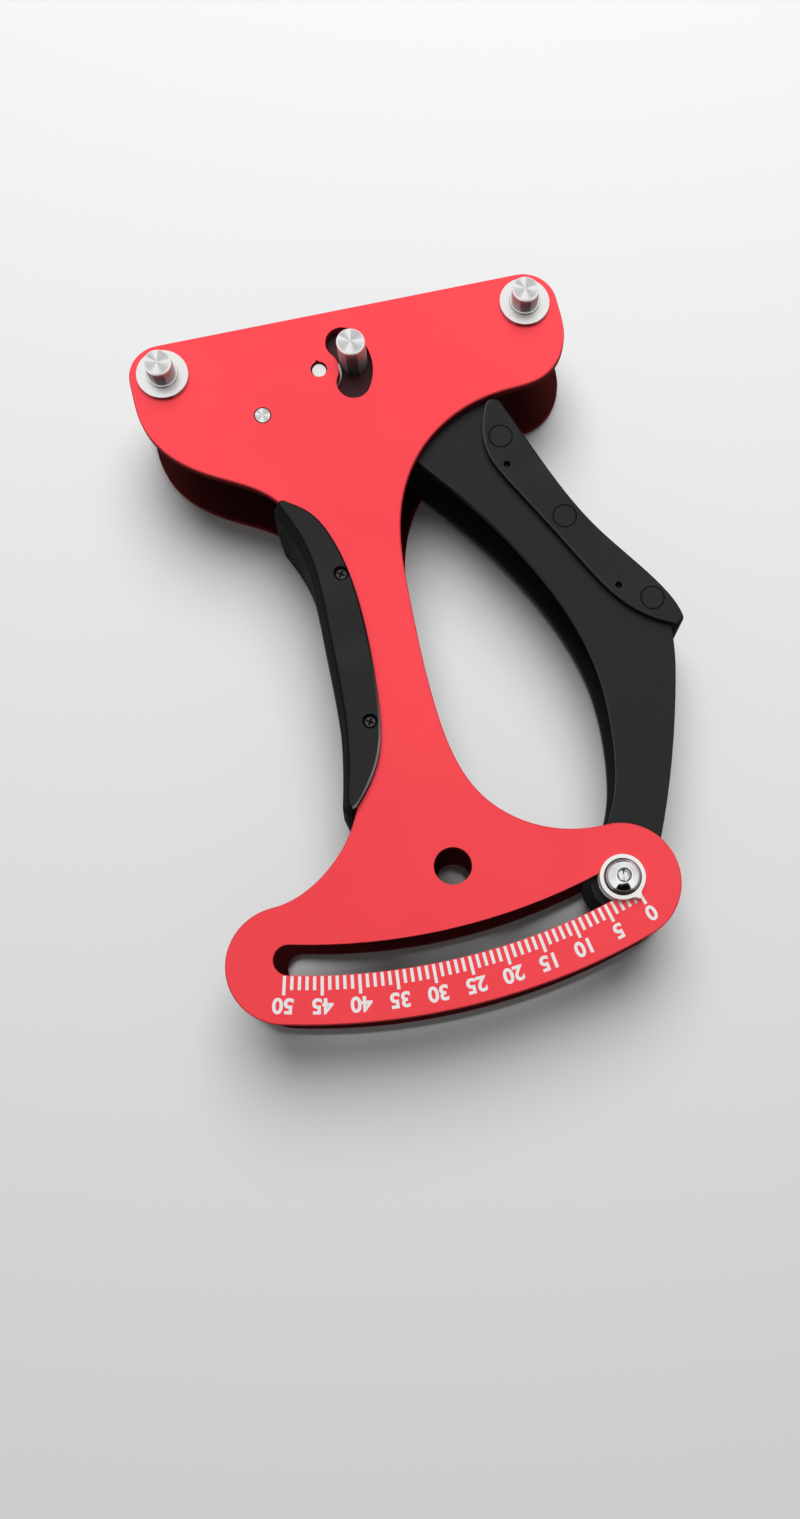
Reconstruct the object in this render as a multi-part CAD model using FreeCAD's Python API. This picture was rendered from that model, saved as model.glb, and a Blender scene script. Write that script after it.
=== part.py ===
import FreeCAD, Part
import os
from math import acos, atan2, cos, degrees, hypot, radians, sin

# Spoke tension meter. Two plates, held apart by posts, carry a sprung lever between them.
# Squeezing the lever moves its post past the two fixed ones and bends the spoke between
# them; the pointer at the lever's far end rides in a curved slot beside the scale.
#
# The front faces +Z and the head with its posts is at +Y. Everything is drawn about the
# lever's pivot with z = 0 on the rear plate's outer face, and save() then moves the
# origin to the hanging hole. Angles are in degrees about the pivot, counted from the
# middle of the scale (-Y) and positive towards its zero end. Lengths are in millimetres.

V = FreeCAD.Vector
UP = V(0, 0, 1)

# Fits
running = 0.05
loose = 0.2
recess = 0.1

# Body plates
body_t = 24.0
plate_t = 2.0
plate_edge = 0.3
hole_x = 2.1
hole_above_slot = 19.85
hole_r = 5.0

# Head and its two fixed posts
post_spacing = 101.9
left_post_x = -41.6
post_y = 7.1
head_corner_r = 9.2
post_h = 5.8
post_r = 3.75
post_groove = 0.4
flange_r = 7.0
flange_t = 1.0
flange_edge = 0.25
top_edge = 0.5
shank_r = 2.5
spacer_r = 5.0
post_screw_r = 1.5
post_screw_head_r = 3.0
post_screw_length = 12.0

# Fan with the slot that the pointer rides in
slot_mid_r = 163.3
slot_w = 8.0
right_lobe_r = 15.8
left_lobe_r = 15.3
lobe_below_slot = 0.9
right_lobe_angle = 15.6
left_lobe_angle = -16.1

# Lever travel
pointer_angle = 15.75
squeeze = 31.4
slot_play = 0.2

# Lever
side_gap = 0.5
lever_plate_t = 2.0
hub_r = 15.5
boss_r = 8.1

# Pivot
pivot_r = 3.0
pivot_end_r = 2.2
pivot_recess = 0.6
bush_r = 4.5
bush_end_r = 4.0
washer_gap = 0.25
notch_r = 0.45

# Moving post and its kidney-shaped opening
moving_post_at_r = 10.15
moving_post_angle = 101.7
moving_post_r = 3.9
moving_shank_r = 2.0
moving_spacer_r = 3.0
kidney_w = 9.3
kidney_above = 26.5
kidney_below = 15.1

# Return spring and the pin that anchors it
anchor_x, anchor_y = -17.95, -9.95
anchor_r = 3.0
anchor_end_r = 2.3
wire_r = 0.9
coil_gap = 0.4
coil_turns = 2
coil_pitch = 2.6

# Grips
grip_raise = 2.0
grip_edge = 0.5
left_grip_end_r = 1.2
right_grip_top_r = 2.4
right_grip_low_r = 1.7
grip_swell = 2.6
grip_shoulder = 1.8
grip_screw_r = 1.25
grip_screw_head_r = 1.85
grip_screw_head_t = 1.4
left_screw_low = 5.0
tip_hole_r = 0.95
tip_r = 0.5
tip_recess = 0.5

# Pointer and what carries it
collar_r = 3.8
collar_flange_r = 6.1
collar_flange_t = 0.35
standoff_r = 4.5
pointer_r = 6.1
pointer_t = 1.4
pointer_lift = 0.3
tip_half = 0.3
pointer_tip = 7.4
pointer_lean = 26.0
pointer_screw_r = 2.5
pointer_screw_head_r = 4.75
pointer_screw_head_t = 2.75
pointer_screw_rim = 0.4
pointer_screw_flat_r = 2.0
pointer_screw_length = 14.0
hex_across = 3.0
hex_depth = 1.6

# Sizes and levels that follow from the ones above
right_post_x = left_post_x + post_spacing
hole_y = hole_above_slot - slot_mid_r
fan_r = slot_mid_r + lobe_below_slot + right_lobe_r
washer_r = moving_post_at_r - moving_post_r - washer_gap
front = body_t
inner_front = body_t - plate_t
lever_front = inner_front - side_gap
lever_rear = plate_t + side_gap
mid = body_t / 2
post_top = front + post_h
pointer_low = front + pointer_lift
pointer_top = pointer_low + pointer_t

# The free outlines are drawn for a slot radius of 163.3 and follow it.
reach = slot_mid_r / 163.3


def spot(x, y):
    """A point of a free outline."""
    return V(x * reach, y * reach, 0)


def polar(radius, angle):
    """A point about the pivot."""
    return V(radius * sin(radians(angle)), -radius * cos(radians(angle)), 0)


def smooth(points, start, end):
    """One curve through the points, with its directions at both ends."""
    curve = Part.BSplineCurve()
    curve.interpolate(Points=points, InitialTangent=start, FinalTangent=end, Scale=False)
    return curve.toShape()


def arc(first, middle, last):
    return Part.Arc(first, middle, last).toShape()


def line(first, last):
    return Part.LineSegment(first, last).toShape()


def slab(edges, low, high):
    """The closed outline's area between two heights."""
    face = Part.Face(Part.Wire(Part.__sortEdges__(edges)))
    solid = face.extrude(V(0, 0, high - low))
    solid.translate(V(0, 0, low))
    return solid


def rod(x, y, radius, low, high):
    return Part.makeCylinder(radius, high - low, V(x, y, low))


def turned(x, y, profile):
    """A lathe-turned piece from its (radius, height) outline."""
    points = [V(r, 0, z) for r, z in profile]
    face = Part.Face(Part.makePolygon(points + points[:1]))
    solid = face.revolve(V(0, 0, 0), UP, 360)
    solid.translate(V(x, y, 0))
    return solid


def arc_slot(radius, width, high_angle, low_angle, low, high):
    """A slot of even width along an arc about the pivot, with round ends."""
    half = width / 2
    middle = (high_angle + low_angle) / 2
    outer = [polar(radius + half, a) for a in (low_angle, middle, high_angle)]
    inner = [polar(radius - half, a) for a in (low_angle, middle, high_angle)]
    high_end = polar(radius, high_angle) + polar(half, high_angle + 90)
    low_end = polar(radius, low_angle) + polar(half, low_angle - 90)
    edges = [arc(*outer), arc(outer[2], high_end, inner[2]),
             arc(*inner), arc(outer[0], low_end, inner[0])]
    return slab(edges, low, high)


def edges_at(solid, height):
    """The edges that lie flat at one height."""
    return [e for e in solid.Edges
            if abs(e.BoundBox.ZMin - height) < 1e-4 and abs(e.BoundBox.ZMax - height) < 1e-4]


def save(name, shape):
    """Move the origin to the hanging hole and write the piece."""
    shape = shape.copy()
    shape.translate(V(-hole_x, -hole_y, 0))
    shape.exportStep("parts/" + name + ".step")


# Outlines

boss = polar(slot_mid_r, pointer_angle)
moving_post = polar(moving_post_at_r, moving_post_angle)
left_grip_screws = [spot(-7.7, -59.8), spot(-9.7, -101.2)]
right_grip_screws = [spot(43.7, -38.0), spot(64.7, -78.7)]


def body_outline():
    """Head, waisted neck and fan: the outline that both plates share."""
    top = post_y + head_corner_r
    left = left_post_x - head_corner_r
    right = right_post_x + head_corner_r
    corner = head_corner_r * sin(radians(45))
    right_lobe = polar(fan_r - right_lobe_r, right_lobe_angle)
    left_lobe = polar(fan_r - left_lobe_r, left_lobe_angle)
    right_top = right_lobe + V(0, right_lobe_r, 0)
    left_top = left_lobe + V(0, left_lobe_r, 0)
    right_side = [V(right, post_y, 0), V(right_post_x + 8.2, -5.6, 0),
                  V(right_post_x - 0.1, -15.2, 0), V(right_post_x - 12.3, -17.0, 0),
                  spot(34.1, -20.5), spot(20.9, -29.9), spot(12.3, -44.6), spot(8.6, -70),
                  spot(8.1, -102), spot(14.3, -127), spot(28.1, -138.9), right_top]
    left_side = [V(left, post_y, 0), V(left_post_x - 8.6, -5.7, 0),
                 V(left_post_x - 2.8, -16.6, 0), spot(-34.4, -24.5), spot(-22.5, -32.0),
                 spot(-15.2, -43), spot(-12.9, -66), spot(-13.9, -96), spot(-19.8, -125.3),
                 spot(-31.7, -138.2), left_top]
    left_corner = [V(left, post_y, 0), V(left_post_x - corner, post_y + corner, 0),
                   V(left_post_x, top, 0)]
    right_corner = [V(right_post_x, top, 0), V(right_post_x + corner, post_y + corner, 0),
                    V(right, post_y, 0)]
    return [
        arc(*left_corner),
        line(left_corner[2], right_corner[0]),
        arc(*right_corner),
        smooth(right_side, V(0, -1, 0), V(1, 0, 0)),
        arc(right_top, right_lobe + polar(right_lobe_r, 90), polar(fan_r, right_lobe_angle)),
        arc(polar(fan_r, right_lobe_angle), polar(fan_r, 0), polar(fan_r, left_lobe_angle)),
        arc(polar(fan_r, left_lobe_angle), left_lobe + polar(left_lobe_r, -90), left_top),
        smooth(left_side, V(0, -1, 0), V(-1, 0, 0)),
    ]


def lever_outline():
    """Hub about the pivot, bowed arm and round boss under the pointer."""
    hub_top = polar(hub_r, 165)
    hub_low = polar(hub_r, 10)
    boss_right = boss + polar(boss_r, 60)
    boss_left = boss + polar(boss_r, -104)
    outer = [hub_top, spot(30, 2.5), spot(43.5, -9), spot(47, -26), spot(53, -44),
             spot(65.4, -67), spot(75.6, -85.5), spot(76.1, -94), spot(73, -109),
             spot(66, -130), spot(57.8, -149), boss_right]
    inner = [hub_low, spot(13, -21.5), spot(20, -30.5), spot(30, -44), spot(45, -70),
             spot(53.2, -98), spot(52.7, -119), spot(45.5, -141), boss_left]
    return [
        smooth(outer, V(0.97, -0.26, 0), V(-0.5, -0.87, 0)),
        arc(boss_right, boss + polar(boss_r, -20), boss_left),
        smooth(inner, V(0.98, -0.17, 0), V(-0.24, -0.97, 0)),
        arc(hub_low, polar(hub_r, -90), hub_top),
    ]


def leaf(top, low, outer, inner, turn):
    """A closed shape with two long sides that run smoothly into two round ends.

    Each end is (centre, radius, first direction, last direction). turn is 1 where the
    outline runs anticlockwise and -1 where it runs clockwise.
    """
    ends = []
    for centre, radius, first, last in (top, low):
        ends.append([centre + polar(radius, a) for a in (first, (first + last) / 2, last)])
    top_end, low_end = ends
    quarter = 90 * turn
    return [smooth([top_end[2]] + outer + [low_end[0]],
                   polar(1, top[3] + quarter), polar(1, low[2] + quarter)),
            arc(*low_end),
            smooth([low_end[2]] + inner + [top_end[0]],
                   polar(1, low[3] + quarter), polar(1, top[2] + quarter)),
            arc(*top_end)]


def left_grip_outline(swell, height):
    """Crescent along the neck's left edge; its outer side stands out by swell."""
    out = V(-swell, 0, 0)
    top = (spot(-18.3, -37.35) + out / 2, left_grip_end_r + swell / 2, 144, 294)
    low = (spot(-19.2, -121.6) + out / 2, left_grip_end_r + swell / 2, -105, 45)
    outer = [spot(-15.3, -49.5) + out, spot(-14.5, -74) + out, spot(-16.4, -103) + out]
    inner = [spot(-10.3, -111.9), spot(-6.0, -94.1), spot(-4.8, -69.6), spot(-7.5, -50.0),
             spot(-12.6, -40.2)]
    wire = Part.Wire(leaf(top, low, outer, inner, 1))
    wire.translate(V(0, 0, height))
    return wire


def right_grip_outline():
    """Long leaf shape along the lever's outer edge."""
    top = (spot(44.4, -20.6), right_grip_top_r, 244, 110)
    low = (spot(78.1, -91.1), right_grip_low_r, 96, -24)
    outer = [spot(51.9, -34.5), spot(62.9, -60.3), spot(75.9, -80.6)]
    inner = [spot(67.4, -86.0), spot(56.4, -68.8), spot(44.2, -44.8), spot(39.3, -31.5)]
    return leaf(top, low, outer, inner, -1)


# Body plates

def body_plate(low, high, outer_face):
    """A plate with its outer face's edge broken and the holes that both plates have."""
    plate = slab(body_outline(), low, high)
    plate = plate.makeChamfer(plate_edge, edges_at(plate, outer_face))
    cuts = [rod(hole_x, hole_y, hole_r, low, high),
            rod(0, 0, pivot_end_r + running, low, high),
            rod(anchor_x, anchor_y, anchor_end_r + running, low, high),
            arc_slot(slot_mid_r, slot_w, pointer_angle + slot_play,
                     pointer_angle - squeeze - slot_play, low, high)]
    return plate.cut(cuts)


def front_plate():
    plate = body_plate(inner_front, front, front)
    post_holes = [rod(x, post_y, shank_r + running, inner_front, front)
                  for x in (left_post_x, right_post_x)]
    kidney = arc_slot(moving_post_at_r, kidney_w, moving_post_angle + kidney_above,
                      moving_post_angle - squeeze - kidney_below, inner_front, front)
    notch = rod(0, pivot_end_r + running, notch_r, inner_front, front)
    screw_holes = [rod(at.x, at.y, grip_screw_r + loose, inner_front, front)
                   for at in left_grip_screws]
    return plate.cut(post_holes + [kidney, notch] + screw_holes)


def rear_plate():
    plate = body_plate(0, plate_t, 0)
    head_t = post_screw_head_r - post_screw_r
    for x in (left_post_x, right_post_x):
        sink = [(0, 0), (post_screw_head_r + running, 0), (post_screw_r + running, head_t),
                (post_screw_r + running, plate_t), (0, plate_t)]
        plate = plate.cut(turned(x, post_y, sink))
    return plate


# Fixed posts, their spacers and screws

def fixed_post(x):
    """Turned post: shank in the plate and spacer, flange on the face, bevelled top."""
    low = plate_t + recess
    neck_r = post_r - post_groove
    flange_top = front + flange_t
    tap_r = post_screw_r + running
    profile = [(tap_r, low), (shank_r, low), (shank_r, front), (flange_r, front),
               (flange_r, flange_top - flange_edge), (flange_r - flange_edge, flange_top),
               (neck_r, flange_top), (neck_r, flange_top + post_groove),
               (post_r, flange_top + post_groove), (post_r, post_top - top_edge),
               (post_r - top_edge, post_top), (0, post_top),
               (0, post_screw_length + loose), (tap_r, post_screw_length + loose)]
    return turned(x, post_y, profile)


def post_spacer(x):
    tube = rod(x, post_y, spacer_r, plate_t, inner_front)
    return tube.cut(rod(x, post_y, shank_r + running, plate_t, inner_front))


def post_screw(x):
    """Countersunk screw, flush in the rear plate, with a cross recess."""
    head_t = post_screw_head_r - post_screw_r
    screw = turned(x, post_y, [(0, recess), (post_screw_head_r - recess, recess),
                               (post_screw_r, head_t), (post_screw_r, post_screw_length),
                               (0, post_screw_length)])
    return screw.cut(cross_recess(x, post_y, post_screw_r, recess, head_t))


def cross_recess(x, y, reach, low, high):
    """The cross that a driver fits in."""
    width = reach / 2
    bar = Part.makeBox(2 * reach, width, high - low, V(-reach, -width / 2, low))
    other = bar.copy()
    other.rotate(V(0, 0, 0), UP, 90)
    cross = bar.fuse(other)
    cross.translate(V(x, y, 0))
    return cross


# Pivot, spring and anchor

def shouldered_pin(x, y, radius, end_r, low, high, edge):
    """A pin whose thin ends sit in the plates and whose body holds the plates apart."""
    return turned(x, y, [(0, low), (end_r, low), (end_r, plate_t), (radius, plate_t),
                         (radius, inner_front), (end_r, inner_front), (end_r, high - edge),
                         (end_r - edge, high), (0, high)])


def pivot_pin():
    return shouldered_pin(0, 0, pivot_r, pivot_end_r, recess, front - pivot_recess, 0.3)


def spring_anchor():
    return shouldered_pin(anchor_x, anchor_y, anchor_r, anchor_end_r, recess, front, 0.25)


def pivot_bush():
    """Bush through both lever plates, with shoulders that hold them apart."""
    bore = pivot_r + running
    low = lever_rear + lever_plate_t
    high = lever_front - lever_plate_t
    return turned(0, 0, [(bore, lever_rear), (bush_end_r, lever_rear), (bush_end_r, low),
                         (bush_r, low), (bush_r, high), (bush_end_r, high),
                         (bush_end_r, lever_front), (bore, lever_front)])


def thrust_washer(low):
    thickness = side_gap - recess
    washer = rod(0, 0, washer_r, low, low + thickness)
    return washer.cut(rod(0, 0, pivot_r + running, low, low + thickness))


def torsion_spring():
    """Coil round the bush; one leg bears on the anchor, the other on the moving post."""
    radius = bush_r + coil_gap + wire_r
    # A leg leaves the coil on the tangent that just clears what it bears on.
    post_reach = radius - moving_spacer_r - wire_r - recess
    anchor_reach = radius - anchor_r - wire_r - recess
    anchor_at_r = hypot(anchor_x, anchor_y)
    high_end = moving_post_angle - degrees(acos(post_reach / moving_post_at_r))
    low_end = degrees(atan2(anchor_x, -anchor_y)) + degrees(acos(anchor_reach / anchor_at_r))
    sweep = coil_turns * 360 + high_end - low_end
    height = mid - sweep / 360 * coil_pitch / 2
    start = polar(radius, low_end) + V(0, 0, height)
    along = polar(1, low_end + 90)
    end = Part.Face(Part.Wire(Part.makeCircle(wire_r, start, along)))
    pieces = [end.extrude(along * -(anchor_at_r + anchor_r))]
    # Half turns, each tilted so that it climbs half the pitch, and what is left of a turn.
    rise = V(0, 0, coil_pitch / 2)
    while sweep > 0:
        turn = min(sweep, 180)
        across = rise - polar(2 * radius, low_end)
        centre = start + across / 2
        axis = along.cross(across)
        pieces.append(end.revolve(centre, axis, turn))
        end.rotate(centre, axis, turn)
        start = start + across
        low_end = low_end + 180
        sweep = sweep - turn
        tilt = FreeCAD.Rotation(axis, turn)
        along = tilt.multVec(along)
    pieces.append(end.extrude(along * (moving_post_at_r + moving_spacer_r)))
    return pieces[0].fuse(pieces[1:])


# Lever plates and post

def lever_plate(low):
    high = low + lever_plate_t
    plate = slab(lever_outline(), low, high)
    holes = [rod(0, 0, bush_end_r + running, low, high),
             rod(moving_post.x, moving_post.y, moving_shank_r + running, low, high),
             rod(boss.x, boss.y, pointer_screw_r + running, low, high)]
    holes += [rod(at.x, at.y, grip_screw_r + running, low, high) for at in right_grip_screws]
    return plate.cut(holes)


def moving_post_pin():
    """Turned post that stands on the lever and looks out through the kidney."""
    return turned(moving_post.x, moving_post.y,
                  [(0, lever_rear), (moving_shank_r, lever_rear),
                   (moving_shank_r, lever_front), (moving_post_r, lever_front),
                   (moving_post_r, post_top - top_edge),
                   (moving_post_r - top_edge, post_top), (0, post_top)])


def moving_post_spacer():
    low = lever_rear + lever_plate_t
    high = lever_front - lever_plate_t
    tube = rod(moving_post.x, moving_post.y, moving_spacer_r, low, high)
    return tube.cut(rod(moving_post.x, moving_post.y, moving_shank_r + running, low, high))


# Grips

def grip_left_front():
    """Cover on the front plate, with a bowed side wall and a core between the plates."""
    top = front + grip_raise
    sections = [left_grip_outline(0, top), left_grip_outline(grip_shoulder, inner_front),
                left_grip_outline(grip_swell, mid)]
    grip = Part.makeLoft(sections, True, True)
    grip = grip.makeChamfer(grip_edge, edges_at(grip, top))
    cuts = [slab(body_outline(), inner_front, front)]
    for at in left_grip_screws:
        cuts.append(rod(at.x, at.y, grip_screw_r + running, mid, top))
        cuts.append(rod(at.x, at.y, grip_screw_head_r + loose, top - grip_screw_head_t - loose, top))
    return grip.cut(cuts)


def grip_left_rear():
    """Rear half: its side wall ends flush with the rear plate, its core lies inside."""
    grip = Part.Face(left_grip_outline(grip_swell, 0)).extrude(V(0, 0, mid))
    screw_holes = [rod(at.x, at.y, grip_screw_r + running, left_screw_low - loose, mid)
                   for at in left_grip_screws]
    return grip.cut([slab(body_outline(), 0, plate_t)] + screw_holes)


def grip_left_screw(x, y):
    top = front + grip_raise - loose
    seat = top - grip_screw_head_t
    screw = turned(x, y, [(0, left_screw_low), (grip_screw_r, left_screw_low),
                          (grip_screw_r, seat), (grip_screw_head_r, seat),
                          (grip_screw_head_r, top), (0, top)])
    return screw.cut(cross_recess(x, y, grip_screw_head_r * 0.7, seat + recess, top))


def grip_right_half(outer, inner_edge):
    """One half of the lever's grip, from its outer face to the joint in the middle."""
    low, high = min(outer, mid), max(outer, mid)
    grip = slab(right_grip_outline(), low, high)
    grip = grip.makeChamfer(grip_edge, edges_at(grip, outer))
    return grip.cut(slab(lever_outline(), inner_edge, inner_edge + lever_plate_t))


def grip_right_front():
    """Half towards the front, with small holes for the screws' tips."""
    top = lever_front + grip_raise
    grip = grip_right_half(top, lever_front - lever_plate_t)
    cuts = []
    for at in right_grip_screws:
        cuts.append(rod(at.x, at.y, grip_screw_r + running, mid, lever_front))
        cuts.append(rod(at.x, at.y, tip_hole_r, lever_front, top))
    return grip.cut(cuts)


def grip_right_rear():
    """Half towards the rear, where the screws' heads are sunk."""
    bottom = lever_rear - grip_raise
    grip = grip_right_half(bottom, lever_rear)
    cuts = []
    for at in right_grip_screws:
        cuts.append(rod(at.x, at.y, grip_screw_r + running, bottom, mid))
        cuts.append(rod(at.x, at.y, grip_screw_head_r + loose, bottom,
                        bottom + grip_screw_head_t + loose))
    return grip.cut(cuts)


def grip_right_screw(x, y):
    """Pan-head screw from the rear; its pointed tip shows in the front half."""
    low = lever_rear - grip_raise + loose
    seat = low + grip_screw_head_t
    tip = lever_front + grip_raise - tip_recess
    screw = turned(x, y, [(0, low), (grip_screw_head_r, low), (grip_screw_head_r, seat),
                          (grip_screw_r, seat), (grip_screw_r, lever_front - recess),
                          (tip_r, lever_front - recess), (tip_r, tip - tip_r), (0, tip)])
    return screw.cut(cross_recess(x, y, grip_screw_head_r * 0.7, low, seat - recess))


# Pointer

def pointer_standoff():
    """Threaded post between the lever plates, its spigot riveted in the rear one."""
    low = lever_rear + lever_plate_t
    high = lever_front - lever_plate_t
    bore = pointer_screw_r + running
    floor = pointer_top - pointer_screw_length - loose
    return turned(boss.x, boss.y,
                  [(0, lever_rear), (pointer_screw_r, lever_rear), (pointer_screw_r, low),
                   (standoff_r, low), (standoff_r, high), (bore, high), (bore, floor),
                   (0, floor)])


def slide_collar():
    """Collar that rides in the slot, with a thin flange between lever and front plate."""
    bore = pointer_screw_r + running
    flange = lever_front + collar_flange_t
    return turned(boss.x, boss.y,
                  [(bore, lever_front), (collar_flange_r, lever_front),
                   (collar_flange_r, flange), (collar_r, flange), (collar_r, pointer_low),
                   (bore, pointer_low)])


def pointer():
    """Bright disc with a short point that leans towards the zero line."""
    base_spread = 18

    def at(radius, turn):
        return boss + polar(radius, pointer_lean + turn)

    tip_side = degrees(tip_half / pointer_tip)
    flank_r = (pointer_r * 2 + pointer_tip) / 3
    flank_turn = base_spread / 3
    edges = [arc(at(pointer_r, base_spread), at(pointer_r, 180), at(pointer_r, -base_spread)),
             arc(at(pointer_r, -base_spread), at(flank_r, -flank_turn),
                 at(pointer_tip, -tip_side)),
             line(at(pointer_tip, -tip_side), at(pointer_tip, tip_side)),
             arc(at(pointer_tip, tip_side), at(flank_r, flank_turn),
                 at(pointer_r, base_spread))]
    plate = slab(edges, pointer_low, pointer_top)
    return plate.cut(rod(boss.x, boss.y, pointer_screw_r + running, pointer_low, pointer_top))


def pointer_screw():
    """Button-head screw with a hexagon socket."""
    top = pointer_top + pointer_screw_head_t
    screw = turned(0, 0, [(0, pointer_top - pointer_screw_length),
                          (pointer_screw_r, pointer_top - pointer_screw_length),
                          (pointer_screw_r, pointer_top), (pointer_screw_head_r, pointer_top),
                          (pointer_screw_head_r, top), (0, top)])
    # The dome is the ball that meets the rim and the small flat round the socket.
    rim = pointer_screw_head_t - pointer_screw_rim
    centre = (pointer_screw_head_r ** 2 - pointer_screw_flat_r ** 2 - rim ** 2) / (2 * rim)
    ball_r = hypot(pointer_screw_flat_r, centre + rim)
    ball = Part.makeSphere(ball_r, V(0, 0, top - rim - centre))
    screw = screw.common(ball.fuse(rod(0, 0, pointer_screw_head_r,
                                       pointer_top - pointer_screw_length, top - rim)))
    hex_r = hex_across / 2 / cos(radians(30))
    corners = [polar(hex_r, 60 * i) for i in range(7)]
    socket = Part.Face(Part.makePolygon(corners)).extrude(V(0, 0, hex_depth))
    socket.translate(V(0, 0, top - hex_depth))
    screw = screw.cut(socket)
    screw.translate(boss)
    return screw


# Write every piece

os.makedirs("parts", exist_ok=True)

save("front_plate", front_plate())
save("rear_plate", rear_plate())
for side, post_x in (("left", left_post_x), ("right", right_post_x)):
    save(side + "_post", fixed_post(post_x))
    save(side + "_spacer", post_spacer(post_x))
save("post_screws", Part.makeCompound([post_screw(x) for x in (left_post_x, right_post_x)]))
save("pivot_pin", pivot_pin())
save("spring_anchor", spring_anchor())
save("torsion_spring", torsion_spring())
save("grip_left_front", grip_left_front())
save("grip_left_rear", grip_left_rear())
save("grip_left_screws", Part.makeCompound([grip_left_screw(at.x, at.y) for at in left_grip_screws]))

save("lever_front_plate", lever_plate(lever_front - lever_plate_t))
save("lever_rear_plate", lever_plate(lever_rear))
save("pivot_bush", pivot_bush())
save("front_thrust_washer", thrust_washer(lever_front))
save("rear_thrust_washer", thrust_washer(plate_t + recess))
save("moving_post", moving_post_pin())
save("moving_post_spacer", moving_post_spacer())
save("grip_right_front", grip_right_front())
save("grip_right_rear", grip_right_rear())
save("grip_right_screws", Part.makeCompound([grip_right_screw(at.x, at.y) for at in right_grip_screws]))
save("pointer_standoff", pointer_standoff())
save("slide_collar", slide_collar())
save("pointer", pointer())
save("pointer_screw", pointer_screw())
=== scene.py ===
from math import cos, pi, radians, sin

import bmesh
import bpy
from mathutils import Matrix, Vector


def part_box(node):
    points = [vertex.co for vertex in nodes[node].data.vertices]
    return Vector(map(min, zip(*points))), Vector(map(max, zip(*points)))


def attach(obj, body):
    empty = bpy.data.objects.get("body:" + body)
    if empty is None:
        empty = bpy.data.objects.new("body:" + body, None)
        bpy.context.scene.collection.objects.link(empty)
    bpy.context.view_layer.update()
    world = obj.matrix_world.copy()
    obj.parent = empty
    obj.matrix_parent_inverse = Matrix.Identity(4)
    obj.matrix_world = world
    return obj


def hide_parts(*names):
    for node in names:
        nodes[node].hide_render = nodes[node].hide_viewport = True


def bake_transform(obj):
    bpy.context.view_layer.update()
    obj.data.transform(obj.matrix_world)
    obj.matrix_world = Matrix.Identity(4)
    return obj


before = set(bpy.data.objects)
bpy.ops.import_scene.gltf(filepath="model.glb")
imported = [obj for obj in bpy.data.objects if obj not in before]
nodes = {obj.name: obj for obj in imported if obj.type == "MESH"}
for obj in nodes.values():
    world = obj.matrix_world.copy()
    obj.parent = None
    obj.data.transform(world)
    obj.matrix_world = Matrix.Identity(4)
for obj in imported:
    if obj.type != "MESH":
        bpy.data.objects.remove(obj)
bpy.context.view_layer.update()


# Body plates. Two plates of one outline, cut from aluminium sheet, edges broken, then
# blasted to a fine satin and anodised red. The cut edges keep faint upright lines and are
# painted a darker red as shade; the inner faces are painted darker still as shade.

mm = 0.001


class Shade:
    """A socket in a material's nodes. Sums and products of it add their Math nodes."""

    def __init__(self, tree, socket=None):
        self.tree = tree
        self.socket = socket

    def node(self, kind, settings=None, inputs=None, out=0):
        """A new node's output. Inputs are shades or constants; stops fill a colour ramp."""
        made = self.tree.nodes.new(kind)
        for name, value in (settings or {}).items():
            if name == "stops":
                ramp = made.color_ramp.elements
                ramp[0].position, ramp[0].color = value[0]
                ramp[1].position, ramp[1].color = value[-1]
                for position, colour in value[1:-1]:
                    ramp.new(position).color = colour
            else:
                setattr(made, name, value)
        for name, value in (inputs or {}).items():
            socket = made.inputs[name]
            if isinstance(value, Shade):
                self.tree.links.new(value.socket, socket)
            else:
                socket.default_value = value
        return Shade(self.tree, made.outputs[out])

    def maths(self, operation, first, second):
        return self.node("ShaderNodeMath", {"operation": operation}, {0: first, 1: second})

    def __add__(self, other):
        return self.maths("ADD", self, other)

    __radd__ = __add__

    def __sub__(self, other):
        return self.maths("SUBTRACT", self, other)

    def __rsub__(self, other):
        return self.maths("SUBTRACT", other, self)

    def __mul__(self, other):
        return self.maths("MULTIPLY", self, other)

    __rmul__ = __mul__

    def __truediv__(self, other):
        return self.maths("DIVIDE", self, other)

    def __pow__(self, other):
        return self.maths("POWER", self, other)

    def __abs__(self):
        return self.maths("ABSOLUTE", self, 0.0)

    def below(self, level):
        """1 under this level, 0 over it."""
        return self.maths("LESS_THAN", self, level)

    def between(self, low, high):
        """0 at low, 1 at high, smooth in between."""
        return self.node("ShaderNodeMapRange", {"interpolation_type": "SMOOTHSTEP"},
                         {"Value": self, "From Min": low, "From Max": high})

    def mixed(self, first, second):
        """First colour where this is 0, second where it is 1."""
        # The node's colour sockets are its inputs 6 and 7 and its output 2.
        return self.node("ShaderNodeMix", {"data_type": "RGBA"},
                         {"Factor": self, 6: first, 7: second}, out=2)

    def part(self, axis):
        return self.node("ShaderNodeSeparateXYZ", None, {0: self}, out=axis)

    def centred(self, x, y):
        return self.node("ShaderNodeMapping", None, {"Vector": self, "Location": (-x, -y, 0)})

    def stretched(self, x, y, z):
        return self.node("ShaderNodeMapping", None, {"Vector": self, "Scale": (x, y, z)})

    def noise(self, scale, detail=2.0, rough=0.5):
        return self.node("ShaderNodeTexNoise", None,
                         {"Vector": self, "Scale": scale, "Detail": detail, "Roughness": rough})

    def bump(self, depth, under=None):
        """A normal from this height of 0 to 1, depth in metres."""
        inputs = {"Height": self, "Distance": depth, "Strength": 1.0}
        if under is not None:
            inputs["Normal"] = under
        return self.node("ShaderNodeBump", None, inputs)


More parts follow.
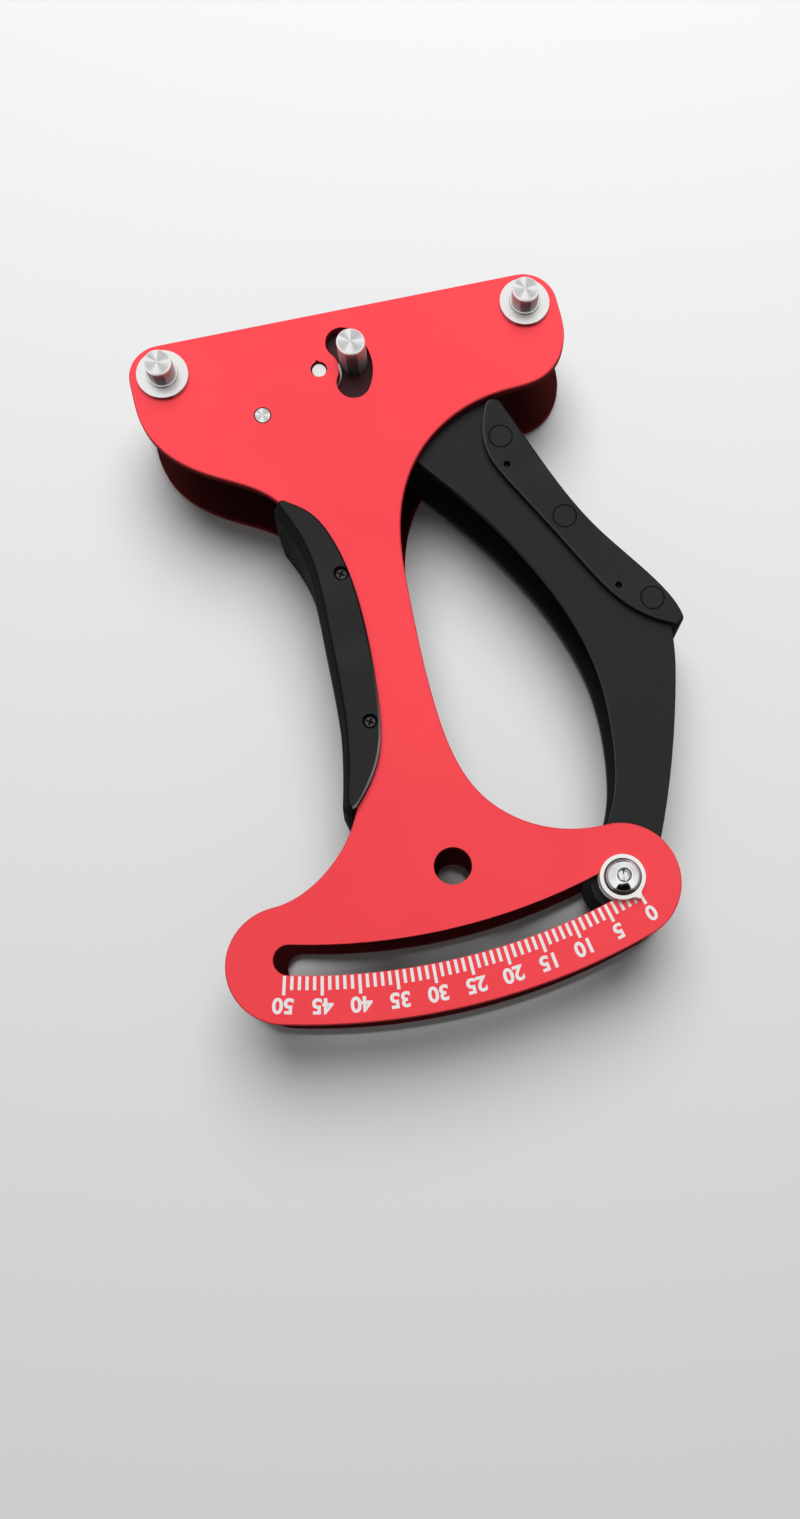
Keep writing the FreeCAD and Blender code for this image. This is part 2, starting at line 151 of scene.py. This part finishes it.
def finish(name, metallic=0.0, specular=0.5, brushed=0.0):
    """A new material, its place coordinates, and a call that feeds its shader."""
    made = bpy.data.materials.new(name)
    made.use_nodes = True
    tree = made.node_tree
    shader = tree.nodes["Principled BSDF"]
    shader.inputs["Metallic"].default_value = metallic
    shader.inputs["Specular IOR Level"].default_value = specular
    shader.inputs["Anisotropic"].default_value = brushed
    place = Shade(tree).node("ShaderNodeTexCoord", out="Object")

    def feed(**sockets):
        for key, value in sockets.items():
            socket = shader.inputs[key.replace("_", " ")]
            if isinstance(value, Shade):
                tree.links.new(value.socket, socket)
            else:
                socket.default_value = value

    return made, place, feed


def wear(node, material):
    """Gives a carried-over CAD node its finish."""
    mesh = nodes[node].data
    mesh.materials.clear()
    mesh.materials.append(material)


def facing(place):
    """1 on faces that look along Z, 0 on upright ones."""
    return abs(place.node("ShaderNodeNewGeometry", out="Normal").part("Z"))


rear_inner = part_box("rear_plate")[1].z
front_inner, plate_top = (corner.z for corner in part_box("front_plate"))

# Depths under an inner face where its painted shade begins and where it is full.
shade_from, shade_to = 0.3 * mm, 0.05 * mm

red, place, feed = finish("red_anodised_aluminium", specular=0.3)
cloud = place.noise(22.0, detail=3.0)
grain = place.noise(2600.0, detail=3.0, rough=0.6)
sawn = place.stretched(1.0, 1.0, 0.02).noise(3200.0, detail=2.0)
flat = facing(place).between(0.5, 0.8)
height = place.part("Z")
inner_shade = (height.between(rear_inner - shade_from, rear_inner - shade_to)
         * (1 - height.between(front_inner + shade_to, front_inner + shade_from)))
tone = cloud.between(0.3, 0.7).mixed((0.90, 0.060, 0.076, 1), (0.95, 0.067, 0.084, 1))
tone = inner_shade.mixed(tone, (0.045, 0.0022, 0.003, 1))
# Upright faces are painted dark red as shade, inner faces near-black red as shade.
feed(Base_Color=flat.mixed((0.18, 0.004, 0.007, 1), tone),
     Metallic=flat * (0.35 + 0.45 * inner_shade),
     Roughness=0.40 + 0.10 * grain + 0.45 * (1 - flat),
     Normal=(grain * flat + 2.0 * sawn * (1 - flat)).bump(0.00001))
wear("front_plate", red)
wear("rear_plate", red)


# Fixed posts. Turned from steel bar: a flange that sits on the front plate, a groove and a
# low collar, and a plain post that the spoke lies against. The tops keep the lathe's rings.

post_r = 3.75 * mm
post_shank_r = 2.5 * mm
flange_r = 7.0 * mm
flange_top = plate_top + 1.0 * mm
flange_edge = 0.25 * mm
flange_foot = 0.1 * mm
rings_per_m = 5000.0

# Groove and collar at the foot of a post: mm out from its wall, mm up from the flange.
collar = [(0.60, 0.0), (0.50, -0.10), (0.38, -0.10), (0.38, 0.30), (0.28, 0.40),
          (-0.10, 0.40), (-0.10, 0.60), (0.0, 0.70)]

# Broken corner of a turned end: mm in from its wall, mm down from its top.
end_edge = [(0.0, 0.45), (0.08, 0.30), (0.37, 0.05), (0.45, 0.0)]

# Painted glints on a turned face and painted reflections on its wall: degrees from +X,
# lightness.
painted_glints = [(-180, 0.35), (-150, 0.20), (-134, 0.45), (-124, 0.95), (-96, 0.88), (-84, 0.45),
          (-69, 0.10), (-44, 0.28), (-24, 0.70), (-9, 1.00), (1, 0.80), (11, 0.32),
          (31, 0.10), (56, 0.18), (71, 0.22), (79, 1.00), (98, 0.88), (111, 0.45),
          (126, 0.10), (136, 0.15), (144, 0.90), (156, 1.00), (166, 0.55), (180, 0.35)]
painted_bands = [(-180, 0.75), (-150, 0.58), (-128, 0.50), (-121, 0.10), (-82, 0.06), (-75, 0.40),
         (-45, 0.48), (0, 0.62), (90, 0.70), (180, 0.75)]


def middle(node):
    """The x and y of a turned node's axis."""
    low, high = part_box(node)
    return (low.x + high.x) / 2, (low.y + high.y) / 2


def round_axis(place, x, y):
    """Radius from an upright axis, and a call that reads a table of angles round it."""
    place = place.centred(x, y)
    across, along = place.part("X"), place.part("Y")
    radius = (across * across + along * along) ** 0.5
    turned = 0.5 + place.maths("ARCTAN2", along, across) / (2 * pi)

    def by_angle(table):
        stops = [((angle + 180) / 360, (light, light, light, 1)) for angle, light in table]
        return place.node("ShaderNodeValToRGB", {"stops": stops}, {"Fac": turned}).part("X")

    return radius, by_angle


def turned_steel(name, node, face_r, edge=0.97):
    """Turned steel: painted conic glints on the end up to face_r, fine rings, walls with
    painted reflections.
    """
    material, place, feed = finish(name, brushed=0.5)
    radius, by_angle = round_axis(place, *middle(node))
    ring = place.node("ShaderNodeTexNoise", {"noise_dimensions": "1D"},
                      {"W": radius * rings_per_m, "Scale": 1.0, "Detail": 2.0,
                       "Roughness": 0.6})
    up = facing(place)
    sloped, level = up.between(0.15, 0.40), up.between(0.80, 0.95)
    on_face = radius.below(face_r)
    face = 0.82 * by_angle(painted_glints) + 0.18 * ring
    end = on_face.mixed((0.95, 0.95, 0.935, 1),
                        face.mixed((0.47, 0.47, 0.475, 1), (0.98, 0.98, 0.975, 1)))
    wall = by_angle(painted_bands).mixed((0.05, 0.040, 0.042, 1), (0.92, 0.91, 0.91, 1))
    feed(Base_Color=sloped.mixed(wall, level.mixed((edge, edge, edge, 1), end)),
         Metallic=0.2 + 0.8 * sloped,
         Roughness=0.30 + 0.08 * ring + 0.16 * (1 - level * on_face))
    return material


def lathe(profile, x, y, steps):
    """Spins a (radius, height) profile round an upright axis."""
    shape = bmesh.new()
    points = [shape.verts.new((r, 0, z)) for r, z in profile]
    edges = [shape.edges.new(pair) for pair in zip(points, points[1:])]
    bmesh.ops.spin(shape, geom=points + edges, cent=(0, 0, 0), axis=(0, 0, 1),
                   angle=2 * pi, steps=steps, use_merge=True)
    bmesh.ops.remove_doubles(shape, verts=shape.verts, dist=1e-7)
    bmesh.ops.recalc_face_normals(shape, faces=shape.faces)
    bmesh.ops.translate(shape, verts=shape.verts, vec=(x, y, 0))
    return shape


def make_piece(name, shape, material, smooth=True):
    """Makes the shape an object. A smooth one stays sharp where faces turn 32 degrees."""
    mesh = bpy.data.meshes.new(name)
    shape.to_mesh(mesh)
    shape.free()
    mesh.materials.append(material)
    if smooth:
        mesh.shade_smooth()
        mesh.set_sharp_from_angle(angle=radians(32))
    piece = bpy.data.objects.new(name, mesh)
    bpy.context.scene.collection.objects.link(piece)
    return piece


def turn(profile, material, body, stands_for):
    """A turned steel piece in the place of a CAD node."""
    shape = lathe(profile, *middle(stands_for), steps=96)
    piece = make_piece(stands_for + "_turned", shape, material)
    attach(piece, body)
    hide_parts(stands_for)


def rounded(radius, height, edge):
    """Profile points round an outside corner, from the side up to the top."""
    steps = 4
    angles = [i * pi / 2 / steps for i in range(steps + 1)]
    return [(radius - edge * (1 - cos(angle)), height - edge * (1 - sin(angle)))
            for angle in angles]


def turned_end(radius, top):
    """Profile points of an end with its corner broken, up to the axis."""
    return [(radius - inward * mm, top - down * mm) for inward, down in end_edge] + [(0, top)]


for post in ("left_post", "right_post"):
    low, high = (corner.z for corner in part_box(post))
    profile = ([(0, low), (post_shank_r, low), (post_shank_r, plate_top),
                (flange_r - flange_foot, plate_top), (flange_r, plate_top + flange_foot)]
               + rounded(flange_r, flange_top, flange_edge)
               + [(post_r + out * mm, flange_top + up * mm) for out, up in collar]
               + turned_end(post_r, high))
    turn(profile, turned_steel(post + "_turned_steel", post, post_r), "body", post)


# Inside the body. Steel spacers hold the plates apart; countersunk screws with a cross
# recess come from the rear; a shouldered pin carries the lever; a flush pin anchors the
# torsion spring, which is wound from drawn wire.

anchor_face_r = 2.3 * mm

bright, place, feed = finish("bright_steel", metallic=1.0)
feed(Base_Color=place.noise(300.0).mixed((0.60, 0.60, 0.61, 1), (0.74, 0.74, 0.75, 1)),
     Roughness=0.26 + 0.1 * place.noise(1200.0),
     Normal=place.stretched(1, 1, 14).noise(400.0).bump(0.000008))
wire, place, feed = finish("drawn_spring_wire", metallic=1.0)
feed(Base_Color=place.noise(500.0).mixed((0.20, 0.20, 0.21, 1), (0.34, 0.34, 0.36, 1)),
     Roughness=0.30 + 0.12 * place.noise(900.0), Normal=place.noise(2500.0).bump(0.000006))
oxide, place, feed = finish("black_oxide_steel", metallic=0.9)
feed(Base_Color=place.noise(700.0).mixed((0.050, 0.043, 0.043, 1), (0.11, 0.096, 0.096, 1)),
     Roughness=0.30 + 0.15 * place.noise(1500.0), Normal=place.noise(2400.0).bump(0.000008))
for node in ("left_spacer", "right_spacer", "pivot_bush", "front_thrust_washer",
             "rear_thrust_washer", "moving_post_spacer"):
    wear(node, bright)
for node in ("post_screws", "grip_right_screws"):
    wear(node, oxide)
# The pins sit down in holes, so their broken edges are painted dark as shade.
wear("pivot_pin", turned_steel("pivot_pin_steel", "pivot_pin", 0.0, edge=0.16))
wear("spring_anchor",
     turned_steel("anchor_pin_steel", "spring_anchor", anchor_face_r, edge=0.06))

# The coil is a smooth-shaded copy of the CAD node's mesh, standing in that node's place.
shape = bmesh.new()
shape.from_mesh(nodes["torsion_spring"].data)
bmesh.ops.remove_doubles(shape, verts=shape.verts, dist=1e-6)
bmesh.ops.recalc_face_normals(shape, faces=shape.faces)
spring = make_piece("wound_spring", shape, wire)
x, y = middle("pivot_bush")
low, high = (corner.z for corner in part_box("torsion_spring"))
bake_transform(spring)
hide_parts("torsion_spring")


# Grips. Moulded in glass-filled nylon in two halves each, with a fine spark-eroded grain
# and a thin parting line where the halves meet. The lever's front half has three round
# marks, and its screws come from the rear.

parting = 12.0 * mm
parting_in, parting_out = 0.02 * mm, 0.16 * mm
mark_r = 3.2 * mm
mark_in, mark_out = 0.08 * mm, 0.30 * mm
mark_low, mark_high = 22.5 * mm, 23.0 * mm
marks = [(41.9 * mm, 113.7 * mm), (53.3 * mm, 87.25 * mm), (70.7 * mm, 59.05 * mm)]


def moulded(name, highlight_facing, highlight_tone, marks):
    """Grained black nylon with round marks. The second argument is an x, a y and a least:
    the edge gets a painted highlight, as light as the third argument, where its normal,
    taken along that x and y, is over the least."""
    along_x, along_y, least = highlight_facing
    material, place, feed = finish(name, specular=0.12)
    grain = place.noise(1900.0, detail=4.0, rough=0.65)
    worn = place.noise(60.0, detail=3.0).between(0.45, 0.75)
    tone = (grain * 0.7 + worn * 0.3).mixed((0.013, 0.013, 0.0135, 1),
                                            (0.031, 0.031, 0.0315, 1))
    normal = place.node("ShaderNodeTexCoord", out="Normal")
    up = normal.part("Z")
    edge = up.between(0.45, 0.60) * (1 - up.between(0.82, 0.93))
    side = along_x * normal.part("X") + along_y * normal.part("Y")
    side = side.between(least, least + 0.2)
    # The grips' flanks are painted near black as shade, and made rougher.
    shaded_flank = 1 - abs(up).between(0.82, 0.93)
    tone = shaded_flank.mixed(tone, (0.004, 0.004, 0.004, 1))
    tone = (edge * side).mixed(tone, (highlight_tone, highlight_tone, highlight_tone, 1))
    height = place.part("Z")
    relief = abs(height - parting).between(parting_in, parting_out).bump(0.00012)
    for x, y in marks:
        radius, _ = round_axis(place, x, y)
        top = height.between(mark_low, mark_high)
        ring = (1 - abs(radius - mark_r).between(mark_in, mark_out)) * top
        disc = radius.below(mark_r) * top
        stipple = place.noise(3500.0, detail=1.0)
        tone = (disc * (0.35 + 0.65 * stipple)).mixed(tone, (0.020, 0.020, 0.021, 1))
        # Each mark's ring is a bumped groove, painted near black as its shade.
        tone = ring.mixed(tone, (0.001, 0.001, 0.001, 1))
        relief = (1 - ring).bump(0.0002, under=relief)
    feed(Base_Color=tone, Roughness=0.52 + 0.14 * grain + 0.25 * shaded_flank,
         Normal=grain.bump(0.00003, under=relief))
    return material


# The left grip has a painted highlight on its low right edge, the right one on its edge to the
# fan.
left_nylon = moulded("grained_black_nylon", (0.5, -0.9, 0.36), 0.24, [])
wear("grip_left_front", left_nylon)
wear("grip_left_rear", left_nylon)
wear("grip_right_front", moulded("marked_black_nylon", (-1.0, 0.0, 0.0), 0.068, marks))
wear("grip_right_rear", moulded("plain_black_nylon", (-1.0, 0.0, 0.0), 0.068, []))

# The two screws on the left are pan heads in counterbores. Their cross recess is not cut:
# it is painted near black as its shade, over a bump.
bored_r = 1.85 * mm
pan_r, pan_h = 1.55 * mm, 1.05 * mm
pan_edge = 0.45 * mm
pan_seat = 1.4 * mm
thread_r = 1.25 * mm
bar_half, bar_reach = 0.28 * mm, 1.05 * mm
bar_angle = 35

pan, place, feed = finish("blackened_pan_screw", metallic=0.9)
low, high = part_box("grip_left_screws")
seat = high.z - pan_seat
profile = ([(0, low.z), (thread_r, low.z), (thread_r, seat), (pan_r, seat)]
           + rounded(pan_r, seat + pan_h, pan_edge) + [(0, seat + pan_h)])
heads = bmesh.new()
recess_shade = 0.0
for x, y in ((high.x - bored_r, high.y - bored_r), (low.x + bored_r, low.y + bored_r)):
    screw = lathe(profile, x, y, steps=40)
    copied = bpy.data.meshes.new("screw")
    screw.to_mesh(copied)
    screw.free()
    heads.from_mesh(copied)
    bpy.data.meshes.remove(copied)
    turned = place.node("ShaderNodeMapping", None,
                        {"Vector": place.centred(x, y), "Rotation": (0, 0, radians(bar_angle))})
    across, along = abs(turned.part("X")), abs(turned.part("Y"))
    recess_shade = (across.below(bar_half) * along.below(bar_reach)
              + along.below(bar_half) * across.below(bar_reach) + recess_shade)
recess_shade = recess_shade.between(0.0, 0.9)
speck = place.noise(900.0)
metal = speck.mixed((0.035, 0.029, 0.029, 1), (0.13, 0.108, 0.108, 1))
feed(Base_Color=recess_shade.mixed(metal, (0.004, 0.003, 0.003, 1)),
     Roughness=0.28 + 0.15 * speck, Normal=(1 - recess_shade).bump(0.0003))
pan_screws = make_piece("grip_pan_screws", heads, pan)
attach(pan_screws, "body")
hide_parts("grip_left_screws")


# Lever. Two steel plates, stamped and powder-coated a smooth satin black. Round the
# moving post the coat is painted a faint wine tint, a painted reflection of the red plates.

red_bounce_r, red_bounce_out = 13.0 * mm, 17.0 * mm
black, place, feed = finish("satin_black_powder_coat", specular=0.12)
peel = place.noise(420.0, detail=3.0)
speck = place.noise(2400.0, detail=2.0)
radius, _ = round_axis(place, *middle("moving_post"))
coat = speck.mixed((0.015, 0.015, 0.015, 1), (0.024, 0.024, 0.024, 1))
feed(Base_Color=radius.between(red_bounce_r, red_bounce_out).mixed((0.044, 0.017, 0.020, 1), coat),
     Roughness=0.48 + 0.12 * speck, Normal=(peel * 0.8 + speck * 0.2).bump(0.00002))
wear("lever_front_plate", black)
wear("lever_rear_plate", black)


# Moving post, pointer standoff and slide collar: turned steel parts that the lever carries.
# The post's shank goes through both lever plates and its wide end looks out of the kidney.

moving_r = 3.9 * mm
moving_shank_r = 2.0 * mm
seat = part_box("lever_front_plate")[1].z
low, high = (corner.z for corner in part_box("moving_post"))
profile = ([(0, low), (moving_shank_r, low), (moving_shank_r, seat), (moving_r, seat)]
           + turned_end(moving_r, high))
turn(profile, turned_steel("moving_post_turned_steel", "moving_post", moving_r), "lever",
     "moving_post")
wear("pointer_standoff", bright)
wear("slide_collar", turned_steel("collar_steel", "slide_collar", 0.0))


# Pointer. A turned disc with a short point, bead-blasted and plated in matt nickel. A
# polished button-head screw with a hexagon socket sits in a fine groove on its face.

disc_r = 6.1 * mm
disc_edge = 0.22 * mm
groove_out, groove_in = 4.95 * mm, 4.6 * mm
groove_deep = 0.4 * mm
groove_lip = 0.04 * mm
bore_r = 2.55 * mm
boss = Vector((*middle("slide_collar"), 0))
low, high = (corner.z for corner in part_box("pointer"))

# The point leans from straight down, spreads to each side and is blunt at its end, all in
# degrees. The power makes its flanks hollow.
tip_r = 7.4 * mm
tip_lean = 26
tip_spread = 18
tip_blunt = 2.4
tip_power = 2.2

shape = bmesh.new()
bmesh.ops.create_circle(shape, segments=180, radius=groove_out,
                        matrix=Matrix.Translation((0, 0, high)))
start = shape.edges[:]


def drawn_out(edges):
    """Extrudes a loop of edges. Gives the new loop's vertices and edges."""
    made = bmesh.ops.extrude_edge_only(shape, edges=edges)["geom"]
    verts = [part for part in made if isinstance(part, bmesh.types.BMVert)]
    return verts, [part for part in made if isinstance(part, bmesh.types.BMEdge)
                   and all(vert in verts for vert in part.verts)]


def loop_out(edges, radius, z):
    """Extrudes a loop of edges to a new loop of this radius and height."""
    verts, edges = drawn_out(edges)
    for vert in verts:
        vert.co = vert.co.xy.normalized().to_3d() * radius + Vector((0, 0, z))
    return edges


loop = start
for radius, z in ((groove_out, high - groove_deep), (groove_in, high - groove_deep),
                  (groove_in, high), (bore_r, high), (bore_r, low)):
    loop = loop_out(loop, radius, z)
rim = loop_out(start, disc_r, high)
tip = Vector((sin(radians(tip_lean)), -cos(radians(tip_lean))))
for vert in {vert for edge in rim for vert in edge.verts}:
    off = abs(vert.co.xy.angle_signed(tip))
    if off < radians(tip_spread):
        reach = min(1.0, (radians(tip_spread) - off) / radians(tip_spread - tip_blunt))
        vert.co.xy = vert.co.xy.normalized() * (disc_r + (tip_r - disc_r) * reach ** tip_power)
verts, base = drawn_out(rim)
for vert in verts:
    vert.co.z = low
bmesh.ops.bridge_loops(shape, edges=loop + base)
bmesh.ops.recalc_face_normals(shape, faces=shape.faces)
bmesh.ops.bevel(shape, geom=rim, offset=disc_edge, segments=3, profile=0.5,
                affect="EDGES", material=-1)
bmesh.ops.translate(shape, verts=shape.verts, vec=boss)

nickel, place, feed = finish("matt_nickel", metallic=1.0)
blast = place.noise(3000.0, detail=2.0)
radius, _ = round_axis(place, boss.x, boss.y)
# The groove round the screw head is painted near black as shade.
groove_shade = radius.below(groove_out + groove_lip) * (1 - radius.below(groove_in))
feed(Base_Color=groove_shade.mixed(blast.mixed((0.90, 0.90, 0.875, 1), (0.99, 0.99, 0.965, 1)),
                          (0.05, 0.035, 0.03, 1)),
     Roughness=0.42 + 0.12 * blast, Normal=blast.bump(0.000006))
pointer_disc = make_piece("pointer_disc", shape, nickel)
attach(pointer_disc, "lever")
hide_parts("pointer")

# The dome is painted with reflections: bright beside the fan, greyer at its sides. Its foot
# is dull, with painted reflections, black beside the fan; its rim and the socket's edge are
# painted dark as shade, and the socket's walls with painted light and shade.
dome = [(-180, 0.62), (-150, 0.95), (-120, 1.00), (-75, 1.00), (-50, 0.90), (-15, 0.60),
        (20, 0.42), (50, 0.68), (80, 0.80), (110, 0.62), (140, 0.45), (180, 0.62)]
skirt = [(-180, 0.80), (-146, 0.90), (-138, 0.0), (-72, 0.0), (-64, 0.75), (-15, 0.60),
         (20, 0.55), (50, 0.65), (70, 0.15), (115, 0.10), (135, 0.55), (180, 0.80)]
socket_painted_light = [(-180, 0.9), (-110, 0.8), (-95, 0.3), (-80, 0.8), (60, 0.9), (66, 0.1),
                 (88, 0.1), (94, 0.9), (180, 0.9)]
head_r, flat_r = 4.75 * mm, 2.0 * mm
hex_shade_in = flat_r - 0.12 * mm
dome_from, dome_to = flat_r + 0.1 * mm, flat_r + 0.3 * mm
foot_from, foot_to = head_r - 0.85 * mm, head_r - 0.50 * mm
rim_shade_from, rim_shade_to = head_r - 0.22 * mm, head_r - 0.08 * mm
socket_deep = 1.6 * mm
socket_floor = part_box("pointer_screw")[1].z - socket_deep

polish, place, feed = finish("polished_steel")
radius, by_angle = round_axis(place, boss.x, boss.y)
tone = by_angle(dome).mixed((0.50, 0.50, 0.51, 1), (0.97, 0.97, 0.97, 1))
tone = radius.between(dome_from, dome_to).mixed((0.97, 0.97, 0.97, 1), tone)
foot = radius.between(foot_from, foot_to)
tone = foot.mixed(tone, by_angle(skirt).mixed((0.03, 0.03, 0.03, 1), (0.55, 0.55, 0.55, 1)))
tone = radius.between(rim_shade_from, rim_shade_to).mixed(tone, (0.05, 0.02, 0.02, 1))
tone = radius.between(hex_shade_in, flat_r).mixed((0.10, 0.10, 0.10, 1), tone)
sunk = 1 - place.part("Z").between(socket_floor + 0.1 * mm, socket_floor + 0.2 * mm)
lit = by_angle(socket_painted_light).mixed((0.10, 0.10, 0.10, 1), (0.95, 0.95, 0.95, 1))
tone = (sunk * radius.below(flat_r)).mixed(tone, lit)
feed(Base_Color=tone, Metallic=1 - 0.9 * foot,
     Roughness=0.09 + 0.06 * place.noise(600.0) + 0.35 * foot,
     Normal=place.noise(900.0).bump(0.000003))
wear("pointer_screw", polish)


# Scale. White ink printed on the fan: a line for each unit, a longer one for each five,
# and a number at each five with its top away from the lever's pivot.

pivot = Vector((-2.1 * mm, 143.45 * mm, 0))
ink_t = 0.03 * mm
units = 50
zero_angle = 16.4
unit_angle = 32.5 / units
tick_in = 167.45 * mm
short_out, long_out = 171.0 * mm, 172.4 * mm
tick_w = 0.82 * mm
number_r = 173.3 * mm
number_h = 4.0 * mm
number_share = 0.73  # a figure's height over its text size
bold = 0.17 * mm

ink, place, feed = finish("white_ink", specular=0.3)
feed(Base_Color=place.noise(1500.0).mixed((0.80, 0.78, 0.78, 1), (0.90, 0.88, 0.88, 1)),
     Roughness=0.6, Normal=place.noise(2600.0).bump(0.000008))


def on_fan(unit, radius):
    """The place of a unit's print on the fan, this far from the pivot."""
    angle = radians(zero_angle - unit * unit_angle)
    return (Matrix.Translation(pivot) @ Matrix.Rotation(angle, 4, "Z")
            @ Matrix.Translation((0, -radius, plate_top + ink_t / 2)))


shape = bmesh.new()
for unit in range(units + 1):
    tick_out = short_out if unit % 5 else long_out
    size = Matrix.Diagonal((tick_w, tick_out - tick_in, ink_t, 1))
    bmesh.ops.create_cube(shape, size=1.0, matrix=on_fan(unit, (tick_in + tick_out) / 2) @ size)
for unit in range(0, units + 1, 5):
    text = bpy.data.curves.new("number", "FONT")
    text.body = str(unit)
    text.size = number_h / number_share
    text.align_x = "CENTER"
    text.offset = bold
    text.extrude = ink_t / 2
    letters = bpy.data.objects.new("number", text)
    bpy.context.scene.collection.objects.link(letters)
    bpy.context.view_layer.update()
    depsgraph = bpy.context.evaluated_depsgraph_get()
    figures = bpy.data.meshes.new_from_object(letters.evaluated_get(depsgraph))
    figures.transform(on_fan(unit, number_r) @ Matrix.Rotation(pi, 4, "Z"))
    shape.from_mesh(figures)
    bpy.data.objects.remove(letters)
    bpy.data.meshes.remove(figures)
scale_print = make_piece("scale_print", shape, ink, smooth=False)
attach(scale_print, "body")


# Studio. A pale floor, one broad soft light high beyond the head, a pale surround, and a
# black flag beyond the fan that only polished metal shows.

floor_half = 6.0
floor_drop = 0.2 * mm
fade_from, fade_to = 0.22, 0.80
flag_w, flag_h = 0.72, 0.60
flag_at = (0, -0.50, 0.30)
flag_turn = -5

floor_paint, place, feed = finish("floor_paint", specular=0.1)
by_camera, by_diffuse, by_glossy = (place.node("ShaderNodeLightPath", out=f"Is {ray} Ray")
                                    for ray in ("Camera", "Diffuse", "Glossy"))
seen = place.maths("MAXIMUM", by_camera, by_glossy)
far = place.node("ShaderNodeVectorMath", {"operation": "LENGTH"}, {0: place}, out="Value")
far = far.between(fade_from, fade_to)
paint = by_diffuse.mixed((0.80, 0.80, 0.80, 1), (0.06, 0.06, 0.06, 1))
feed(Base_Color=far.mixed(paint, (0.0, 0.0, 0.0, 1)), Roughness=0.85,
     Emission_Color=(far * seen).mixed((0, 0, 0, 1), (0.88, 0.88, 0.88, 1)),
     Emission_Strength=1.0)
shape = bmesh.new()
bmesh.ops.create_grid(shape, x_segments=1, y_segments=1, size=floor_half,
                      matrix=Matrix.Translation((0, 0, -floor_drop)))
floor = make_piece("floor", shape, floor_paint, smooth=False)

light = bpy.data.lights.new("key", "AREA")
light.shape = "DISK"
light.size = 1.1
light.energy = 15.0
key = bpy.data.objects.new("key", light)
key.location = (0.16, 0.66, 0.92)
key.rotation_euler = (Vector((0, 0.06, 0)) - key.location).to_track_quat("-Z", "Y").to_euler()
key.visible_glossy = False
bpy.context.scene.collection.objects.link(key)

felt, _, feed = finish("black_felt", specular=0.0)
feed(Base_Color=(0.004, 0.004, 0.004, 1), Roughness=1.0)
shape = bmesh.new()
bmesh.ops.create_grid(shape, x_segments=1, y_segments=1, size=0.5,
                      matrix=Matrix.Rotation(radians(flag_turn), 4, "Z")
                      @ Matrix.Translation(flag_at) @ Matrix.Rotation(pi / 2, 4, "X")
                      @ Matrix.Diagonal((flag_w, flag_h, 1, 1)))
flag = make_piece("black_flag", shape, felt, smooth=False)
for ray in ("camera", "diffuse", "transmission", "volume_scatter", "shadow"):
    setattr(flag, "visible_" + ray, False)

world = bpy.data.worlds.new("studio")
world.use_nodes = True
bounce = Shade(world.node_tree).node("ShaderNodeLightPath", out="Is Diffuse Ray")
surround = bounce.mixed((0.92, 0.92, 0.92, 1), (0.15, 0.15, 0.15, 1))
world.node_tree.links.new(surround.socket, world.node_tree.nodes["Background"].inputs["Color"])
bpy.context.scene.world = world

lens = bpy.data.cameras.new("camera")
lens.sensor_width = 36.0
lens.lens = 24.90
lens.shift_x = -0.0772
lens.shift_y = 0.1169
lens.clip_start = 0.01
camera = bpy.data.objects.new("camera", lens)
camera.location = (-0.00998, -0.05102, 0.29407)
camera.rotation_euler = (radians(7.0164), radians(-2.9108), radians(-14.4489))
bpy.context.scene.collection.objects.link(camera)
bpy.context.scene.camera = camera
bpy.context.scene.view_settings.view_transform = "Standard"

bpy.context.view_layer.update()
